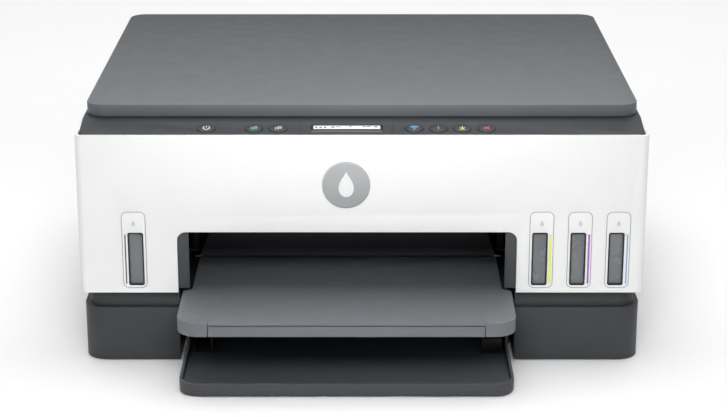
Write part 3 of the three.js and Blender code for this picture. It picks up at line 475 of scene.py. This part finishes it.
# Grey for the painted shade in the grooves round the windows.
GROOVE_SHADE_GREY = moulded("groove_shade_grey", "9b9e9f", 0.5, grain=0.00001, mottle=0.02)
BESIDE_BLACK = 2.0 * MM  # middle of the black tank's window from the middle of its tank
BESIDE_COLOUR = -1.2 * MM
# colour, width, and distance from the window's middle, in millimetres
LINES = {
    "black": ("4c4e50", 0.9, -8.0),
    "yellow": ("e9ee8c", 2.3, 8.0),
    "magenta": ("b661c8", 1.4, 8.3),
    "cyan": ("8fb0de", 1.1, 8.4),
}
MARK = printed("drop_mark", "cfd2d2")

for ink in INKS:
    shift = BESIDE_BLACK if ink == "black" else BESIDE_COLOUR
    x = middle(f"ink_tank_{ink}").x + shift
    front = on_front(x, COVER_FRONT, WINDOW_Z)
    width, height = WINDOW[0] - 0.2, WINDOW[1] - 0.2
    outer = rounded(width, height, 1.5)
    inner = rounded(width - 2 * SHADE_RING_WIDTH, height - 2 * SHADE_RING_WIDTH, 0.7)
    # A black ring round each window stands in for the shadow gap between the cover's cutout and the tank: painted
    # shade.
    make(f"window_gap_shade_{ink}", [ring(outer, inner, -1.15, 0.25)], front, GAP_SHADE_BLACK, "printer_body",
         0.25)
    code, line_width, offset = LINES[ink]
    line = rounded(line_width, height - 2.4, line_width * 0.4, (offset, 0), 3)
    make(f"colour_line_{ink}", [prism(line, -0.1, 0.12)], front, printed(f"{ink}_line", code),
         "printer_body")
    across = x + (-1.2 if ink == "black" else 1.2) * MM
    # A grey ring sunk in the groove round each window: painted shade in the groove.
    rim = [rounded(OUTLINE[0] - cut, OUTLINE[1] - cut, OUTLINE[2] - cut / 2) for cut in (0.1, 1.1)]
    make(f"window_groove_shade_{ink}", [ring(rim[0], rim[1], -0.45, -0.1)],
         on_front(across, COVER_FRONT, OUTLINE_Z), GROOVE_SHADE_GREY, "printer_body")
    make(f"drop_mark_{ink}", [prism(drop(3.4, 5.0), -0.1, 0.14)],
         on_front(across, COVER_FRONT, LETTER_Z), MARK, "printer_body")

# ------------------------------------------------------------------ plain badge with an ink drop
BADGE = (-12.0 * MM, COVER_FOOT + 87.5 * MM)
BADGE_R = 18.4
# The disc is painted darker at its foot and paler at its top: painted shade and a painted highlight.
badge_painted_shade = moulded("badge_painted_shade", "b4b6b8", 0.32, grain=0.00001, mottle=0.01,
                     fade=("Z", BADGE[1] - BADGE_R * MM, BADGE[1] + BADGE_R * MM, 0.62, 1.12))
badge_at = on_front(BADGE[0], COVER_FRONT, BADGE[1])
disc = [(0.01, -0.2), (BADGE_R - 0.1, -0.2), (BADGE_R, 0.0), (BADGE_R, 0.7), (BADGE_R - 0.5, 1.1),
        (BADGE_R - 1.6, 1.1), (BADGE_R - 2.1, 0.8), (0.01, 0.8)]
make("badge_disc", [lathe(disc, 72)], badge_at, badge_painted_shade, "printer_body")
make("badge_drop", [prism(drop(13.5, 20.5, (0, 0.8), 48), 0.7, 1.5)], badge_at,
     moulded("badge_light", "eceded", 0.3, mottle=0.01), "printer_body", 0.35)

# ------------------------------------------------------------------ control panel
PANEL_RISE, PANEL_RUN = 5.9, 29.0
SLOPE = math.atan2(PANEL_RISE, PANEL_RUN)
UP_SLOPE = Vector((0, math.cos(SLOPE), math.sin(SLOPE)))
OFF_PANEL = Vector((0, -math.sin(SLOPE), math.cos(SLOPE)))
KEY_RUN = 10.6 * MM
housing_low, housing_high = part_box("scanner_housing")
PANEL_FOOT = Vector((0, housing_low.y, housing_high.z - PANEL_RISE * MM))
KEY_RISE = 0.4  # the keys stand this far out of the panel


def on_panel(x):
    """On the sloping panel, at the row of keys."""
    return axes(PANEL_FOOT + X * x + UP_SLOPE * KEY_RUN, X, UP_SLOPE, OFF_PANEL)


def page(u, v, width=2.6, height=3.4):
    return ring(rounded(width, height, 0.3, (u, v), 2),
                rounded(width - 0.8, height - 0.8, 0.1, (u, v), 2), KEY_RISE, KEY_RISE + 0.1)


def flat(outline):
    return prism(outline, KEY_RISE, KEY_RISE + 0.1)


def key_marks():
    """The printed mark of each key: its colour and its strokes."""
    power = [flat(band(2.5, 0.6, 125, 415)), flat(stroke((0, 0.6), (0, 3.2), 0.6))]
    copy = [page(-1.0, -0.5), page(1.2, 0.6), flat(stroke((0.4, 0.9), (2.0, 0.9), 0.4))]
    waves = [flat(band(r, 0.7, 50, 130, (0, -2.2))) for r in (2.4, 3.8, 5.2)]
    wireless = [*waves, flat(circle(0.75, (0, -2.0), 16))]
    info = [flat(stroke((0, -2.2), (0, 0.8), 0.7)), flat(circle(0.5, (0, 2.0), 14))]
    resume = [flat(stroke((0, -1.6), (0, 2.8), 0.7)), flat(stroke((-2.1, 0.6), (0.2, -1.7), 0.7)),
              flat(stroke((2.1, 0.6), (-0.2, -1.7), 0.7)), flat(stroke((-2.4, -2.8), (2.4, -2.8), 0.5))]
    cancel = [flat(stroke((-2.2, -2.2), (2.2, 2.2), 1.0)), flat(stroke((-2.2, 2.2), (2.2, -2.2), 1.0))]
    return {
        "power": ("e6e9e9", power), "copy_colour": ("86d6c4", copy), "copy_black": ("e6e9e9", copy),
        "wireless": ("78a9dc", wireless), "information": ("a2a6a9", info),
        "resume": ("dbe47a", resume), "cancel": ("c2545c", cancel),
    }


KEY_R = 6.6
for key, (code, strokes) in key_marks().items():
    at = on_panel(middle(f"{key}_button").x)
    # The printed key marks are given a faint glow: painted light.
    make(f"{key}_mark", strokes, at, printed(f"{key}_ink", code, glow=0.25), f"{key}_button")
    # A dark crescent along the lower rim of each key: painted shadow.
    shade = [prism(band(KEY_R + 0.75, 1.1, 190, 350, taper=True), -0.05, 0.12)]
    make(f"{key}_painted_shadow", shade, at, SEAM_AND_SHADE, "scanner_unit")

# Thin dividing lines on either side of the display, and what the display shows.
for side, x in (("left", -47.2), ("right", 23.3)):
    make(f"panel_line_{side}", [prism(rounded(0.7, 15.5, 0.3, (0, 1.5), 2), -0.05, 0.08)],
         on_panel(x * MM), SEAM_AND_SHADE, "scanner_unit")

display_at = on_panel(middle("display_window").x)


def lit(*spans, rise=0.0):
    """Flat marks on the display, each given by its left, right, lower and upper edge."""
    return [prism(rounded(b - a, d - c, 0.2, ((a + b) / 2, (c + d) / 2), 2), -0.2, rise - 0.08)
            for a, b, c, d in spans]


STRIP = (-25.5, 25.5, -0.8, 4.6)  # the lit part of the display
icons = lit((-24.4, -22.4, 0.8, 3.0), (-21.0, -19.0, 0.8, 3.0), (-17.6, -15.6, 0.8, 3.0), (-12.0, -9.4, 1.2, 3.2),
            (-8.6, -4.6, 2.0, 3.2), (2.0, 3.6, 2.4, 3.8), (12.0, 14.0, 2.2, 3.8), (15.0, 18.4, 2.6, 3.8),
            (20.5, 23.5, 1.8, 3.6), rise=0.06)
make("display_lit", lit(STRIP), display_at, printed("display_light", "d3d7d0", glow=0.45), "scanner_unit")
make("display_icons", icons, display_at, printed("display_dark", "6a706a"), "scanner_unit")

# ------------------------------------------------------------------ paper bay
tray_low, tray_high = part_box("output_tray")
BAY_X = middle("output_tray").x
BAY_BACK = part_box("bay_liner")[1].y
TRAY_TOP = tray_high.z
TRAY_BACK = tray_high.y


def exit_guide():
    """The dark ramp behind the output tray, up to the exit rollers, drawing in at its sides."""
    foot_y, head_y = TRAY_BACK + 0.6 * MM, BAY_BACK - 2.6 * MM
    foot_z, head_z = TRAY_TOP + 0.5 * MM, TRAY_TOP + 21.5 * MM
    steps = 10
    verts, faces = [], []
    for k in range(steps + 1):
        t = k / steps
        half = (120.3 - 9.0 * t) * MM
        y = foot_y + (head_y - foot_y) * (1 - (1 - t) ** 2)
        z = foot_z + (head_z - foot_z) * t
        verts += [(BAY_X - half, y, z), (BAY_X + half, y, z), (BAY_X + half, y + 1.8 * MM, z),
                  (BAY_X - half, y + 1.8 * MM, z)]
    for k in range(steps):
        a = 4 * k
        faces += [(a + i, a + (i + 1) % 4, a + 4 + (i + 1) % 4, a + 4 + i) for i in range(4)]
    faces += [(3, 2, 1, 0), tuple(4 * steps + i for i in range(4))]
    return verts, faces


GUIDE = moulded("exit_guide", "3a3c41", 0.5, grain=0.00004, mottle=0.02)
make("exit_guide", [exit_guide()], Matrix.Identity(4), GUIDE, "printer_body")
for side, sign in (("left", -1), ("right", 1)):
    at = on_top(BAY_X + sign * 121.5 * MM, TRAY_BACK - 1.0 * MM, TRAY_TOP)
    make(f"tray_stop_{side}", [prism(rounded(5.5, 3.0, 0.8), 0.4, 1.8)], at, MATERIALS["tray_grey"],
         "printer_body", 0.3)

# ------------------------------------------------------------------ back
BACK_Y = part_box("rear_cover")[1].y
BACK_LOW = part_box("rear_cover")[0].z


FLUSH = 0.03  # how far what is let into the back stands proud of it


def screw(radius=3.2):
    """A countersunk screw with its cross recess drawn dark as painted shade, and the dark gap round its head."""
    head = prism(circle(radius, steps=28), -0.4, FLUSH)
    gap = ring(circle(radius + 0.6, steps=28), circle(radius, steps=28), -0.4, FLUSH / 2)
    slots = (((-1.7, 0), (1.7, 0)), ((0, -1.7), (0, 1.7)))
    cross = [prism(stroke(a, b, 0.75), -0.1, 1.5 * FLUSH) for a, b in slots]
    return head, [gap, *cross]


SCREW_STEEL = brushed("screw_steel", "7d8083", 0.4)
for number, (x, up) in enumerate(((-205, 10), (205, 10), (-205, 96), (205, 96), (0, 10))):
    head, cross = screw()
    at = on_back(x * MM, BACK_Y, BACK_LOW + up * MM)
    make(f"rear_screw_{number}", [head], at, SCREW_STEEL, "printer_body")
    make(f"rear_screw_gap_and_recess_shade_{number}", cross, at, SEAM_AND_SHADE, "printer_body")

# The door over the paper path: a thin line round it, and a finger pull.
door_at = on_back(-20 * MM, BACK_Y, BACK_LOW + 50 * MM)
line = [rounded(236 - cut, 62 - cut, 5 - cut / 2) for cut in (0, 1.0)]
make("rear_door_line", [ring(line[0], line[1], -0.2, FLUSH)], door_at, SEAM_AND_SHADE, "printer_body")
# The finger pull's recess is a flat dark patch: painted shade.
make("rear_door_pull_shade", [prism(rounded(46, 9, 4, (0, 22)), -0.2, FLUSH / 2)], door_at, SEAM_AND_SHADE,
     "printer_body")
make("rear_door_lip", [prism(rounded(44, 3, 1.4, (0, 25)), -0.1, FLUSH)], door_at,
     MATERIALS["base_charcoal"], "printer_body")

# The square socket of the data lead, and a blank rating plate.
usb_at = on_back(-128 * MM, BACK_Y, BACK_LOW + 23 * MM)
make("data_socket_rim", [ring(rounded(15, 14, 1.2), rounded(9.4, 8.6, 0.9), -0.3, FLUSH)], usb_at,
     SCREW_STEEL, "printer_body")
# The socket's opening is a flat dark patch: painted shade in the hole.
make("data_socket_hole_shade", [prism(rounded(9.2, 8.4, 0.8), -0.2, FLUSH / 2)], usb_at, SEAM_AND_SHADE,
     "printer_body")
make("data_socket_tongue", [prism(rounded(5.2, 2.6, 0.3), -0.1, FLUSH)], usb_at,
     MATERIALS["nylon"], "printer_body")
make("rating_plate", [prism(rounded(52, 20, 2), -0.1, FLUSH)], on_back(150 * MM, BACK_Y, BACK_LOW + 17 * MM),
     moulded("rating_silver", "a9abac", 0.45, grain=0.00001, mottle=0.02), "printer_body")

# ------------------------------------------------------------------ scanner bed under the lid
glass_low, glass_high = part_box("scanner_glass")
BED_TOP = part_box("lid_pad")[0].z - 0.3 * MM
bed_centre = (glass_low + glass_high) / 2
window_size = ((glass_high.x - glass_low.x) / MM - 10, (glass_high.y - glass_low.y) / MM - 10)
bed_left, bed_back = -window_size[0] / 2, window_size[1] / 2


def tick_length(n):
    """Every fifth tick is longer."""
    return 3.0 if n % 5 else 5.0


ticks = [prism(rounded(0.5, tick_length(n), 0.2, (bed_left + 8 + 10 * n, bed_back + 4.2)), -0.05, 0.12)
         for n in range(29)]
ticks += [prism(rounded(tick_length(n), 0.5, 0.2, (bed_left - 3.6, bed_back - 8 - 10 * n)), -0.05, 0.12)
          for n in range(21)]
bed_at = on_top(bed_centre.x, bed_centre.y, BED_TOP)
make("bed_ticks", ticks, bed_at, printed("bed_tick_ink", "b9bcbd"), "scanner_unit")
arrow = [(-4, 0), (4, 0), (0, 6)]
make("bed_corner_arrow", [prism([(u + bed_left - 4, v + bed_back + 1.5) for u, v in arrow], -0.05, 0.12)],
     bed_at, printed("arrow_ink", "d5d8d8"), "scanner_unit")

# ------------------------------------------------------------------ coloured spots on the tank caps
CAP_COLOURS = {"black": "26282a", "yellow": "d9c832", "magenta": "b0357f", "cyan": "2b86b8"}
for ink in INKS:
    low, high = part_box(f"tank_cap_{ink}")
    spot = lathe([(0.01, -0.1), (3.9, -0.1), (3.9, 0.25), (3.4, 0.5), (0.01, 0.5)], 28)
    make(f"cap_spot_{ink}", [spot], on_top((low.x + high.x) / 2, high.y - 11.2 * MM, high.z),
         printed(f"{ink}_cap_tint", CAP_COLOURS[ink], 0.35), f"tank_cap_{ink}")

# ------------------------------------------------------------------ foam pad under the lid
pad_low, pad_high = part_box("lid_pad")


def foam_pad():
    """A slab of foam, its skin crowned a little downwards and drawn in at the edges."""
    columns, rows = 28, 22
    size, centre = pad_high - pad_low, (pad_low + pad_high) / 2
    verts, faces = [], []
    for top in (0, 1):
        for j in range(rows + 1):
            for i in range(columns + 1):
                u, v = 2 * i / columns - 1, 2 * j / rows - 1
                edge = max(abs(u), abs(v)) ** 14
                z = pad_high.z - 0.25 * MM if top else pad_low.z + edge * 1.1 * MM + 0.05 * MM
                inset = 1 - (0.004 if top else 0.002)
                verts.append((centre.x + u * size.x / 2 * inset, centre.y + v * size.y / 2 * inset, z))
    span = (columns + 1) * (rows + 1)
    for j in range(rows):
        for i in range(columns):
            a = j * (columns + 1) + i
            quad = (a, a + 1, a + columns + 2, a + columns + 1)
            faces += [quad[::-1], tuple(q + span for q in quad)]
    rim = [i for i in range(columns)] + [columns + j * (columns + 1) for j in range(rows)]
    rim += [rows * (columns + 1) + columns - i for i in range(columns)]
    rim += [(rows - j) * (columns + 1) for j in range(rows)]
    faces += [(a, b, b + span, a + span) for a, b in zip(rim, rim[1:] + rim[:1])]
    return verts, faces


pad = make("lid_pad_foam", [foam_pad()], Matrix.Identity(4), MATERIALS["foam"], "lid")
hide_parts("lid_pad")


# ------------------------------------------------------------------ floor, light and camera
def floor():
    g = Graph("pale_floor")
    g.link(g.ramp(g.noise(3, 2), [(0.3, srgb("fbfbfb")), (0.7, srgb("fefefe"))]), g.shader.inputs["Base Color"])
    g.set(Roughness=0.8)
    size = 8.0
    mesh = bpy.data.meshes.new("floor")
    corners = [(-size, -size, 0), (size, -size, 0), (size, size, 0), (-size, size, 0)]
    mesh.from_pydata(corners, [], [(0, 1, 2, 3)])
    mesh.materials.append(g.material)
    obj = bpy.data.objects.new("floor", mesh)
    bpy.context.scene.collection.objects.link(obj)


def softbox(name, place, aim, size, spread, power):
    light = bpy.data.lights.new(name, "AREA")
    light.shape = "RECTANGLE"
    light.size, light.size_y = size
    light.spread = math.radians(spread)
    light.energy = power
    obj = bpy.data.objects.new(name, light)
    obj.location = place
    obj.rotation_mode = "QUATERNION"
    obj.rotation_quaternion = (Vector(aim) - Vector(place)).to_track_quat("-Z", "Y")
    obj.visible_camera = False
    bpy.context.scene.collection.objects.link(obj)


floor()
softbox("key", (0, -0.85, 0.62), (0, -0.14, 0.14), (0.4, 0.3), 60, 0.66)
softbox("left", (-1.9, -0.9, 1.3), (0, 0, 0.1), (1.2, 1.2), 180, 0.1)
softbox("right", (1.9, -0.9, 1.3), (0, 0, 0.1), (1.2, 1.2), 180, 0.1)
softbox("top", (0, 0.4, 2.6), (0, 0, 0), (3.0, 2.4), 180, 53)
softbox("backdrop", (0, 4.2, 2.4), (0, 4.4, 0), (6.0, 3.0), 180, 66)

world = bpy.data.worlds.new("studio")
world.use_nodes = True
world.node_tree.nodes["Background"].inputs["Color"].default_value = (1, 1, 1, 1)
world.node_tree.nodes["Background"].inputs["Strength"].default_value = 0.31
bpy.context.scene.world = world
bpy.context.scene.view_settings.view_transform = "Standard"

CAMERA_PLACE = (0.0016, -1.564, 0.5871)
CAMERA_PITCH = 18.0
camera_data = bpy.data.cameras.new("camera")
camera_data.lens = 96.4
camera = bpy.data.objects.new("camera", camera_data)
camera.location = CAMERA_PLACE
camera.rotation_euler = (math.radians(90 - CAMERA_PITCH), 0, 0)
bpy.context.scene.collection.objects.link(camera)
bpy.context.scene.camera = camera
